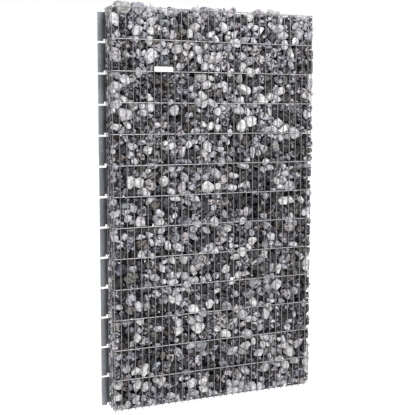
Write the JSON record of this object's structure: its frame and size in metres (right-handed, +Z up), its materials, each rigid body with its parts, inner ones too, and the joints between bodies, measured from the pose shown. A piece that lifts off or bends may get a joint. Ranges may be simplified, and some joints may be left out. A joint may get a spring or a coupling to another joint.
{
  "type": "gabion wall panel",
  "caption": "Slim upright gabion wall panel: a welded wire basket filled with loose broken stone, heaped at its open top, with a slotted sheet strip along each rear edge.",
  "frame": {"origin": "on the floor under the middle of the panel, at the centre of its outer box", "axes": "+X along the wall, to the right seen from the front; +Y from the front mesh to the back; +Z up, along the upright wires"},
  "size_m": [1.524, 0.176, 2.672],
  "materials": {
    "galvanised_wire": "satin",
    "galvanised_sheet": "satin",
    "stone_fill": "matte",
    "tag_plastic": "satin"
  },
  "bodies": {
    "root": {"front_mesh_lower": "galvanised_wire", "front_mesh_upper": "galvanised_wire", "left_side_mesh": "galvanised_wire", "right_side_mesh": "galvanised_wire", "rear_mesh_lower": "galvanised_wire", "rear_mesh_upper": "galvanised_wire", "base_mesh": "galvanised_wire", "left_slotted_strip": "galvanised_sheet", "right_slotted_strip": "galvanised_sheet", "stone_fill_row_01": "stone_fill", "stone_fill_row_02": "stone_fill", "stone_fill_row_03": "stone_fill", "stone_fill_row_04": "stone_fill", "stone_fill_row_05": "stone_fill", "stone_fill_row_06": "stone_fill", "stone_fill_row_07": "stone_fill", "stone_fill_row_08": "stone_fill", "stone_fill_row_09": "stone_fill", "stone_fill_row_10": "stone_fill", "stone_fill_row_11": "stone_fill", "stone_fill_row_12": "stone_fill", "stone_fill_row_13": "stone_fill", "stone_heap_top": "stone_fill", "blank_tag": "tag_plastic"}
  },
  "joints": []
}
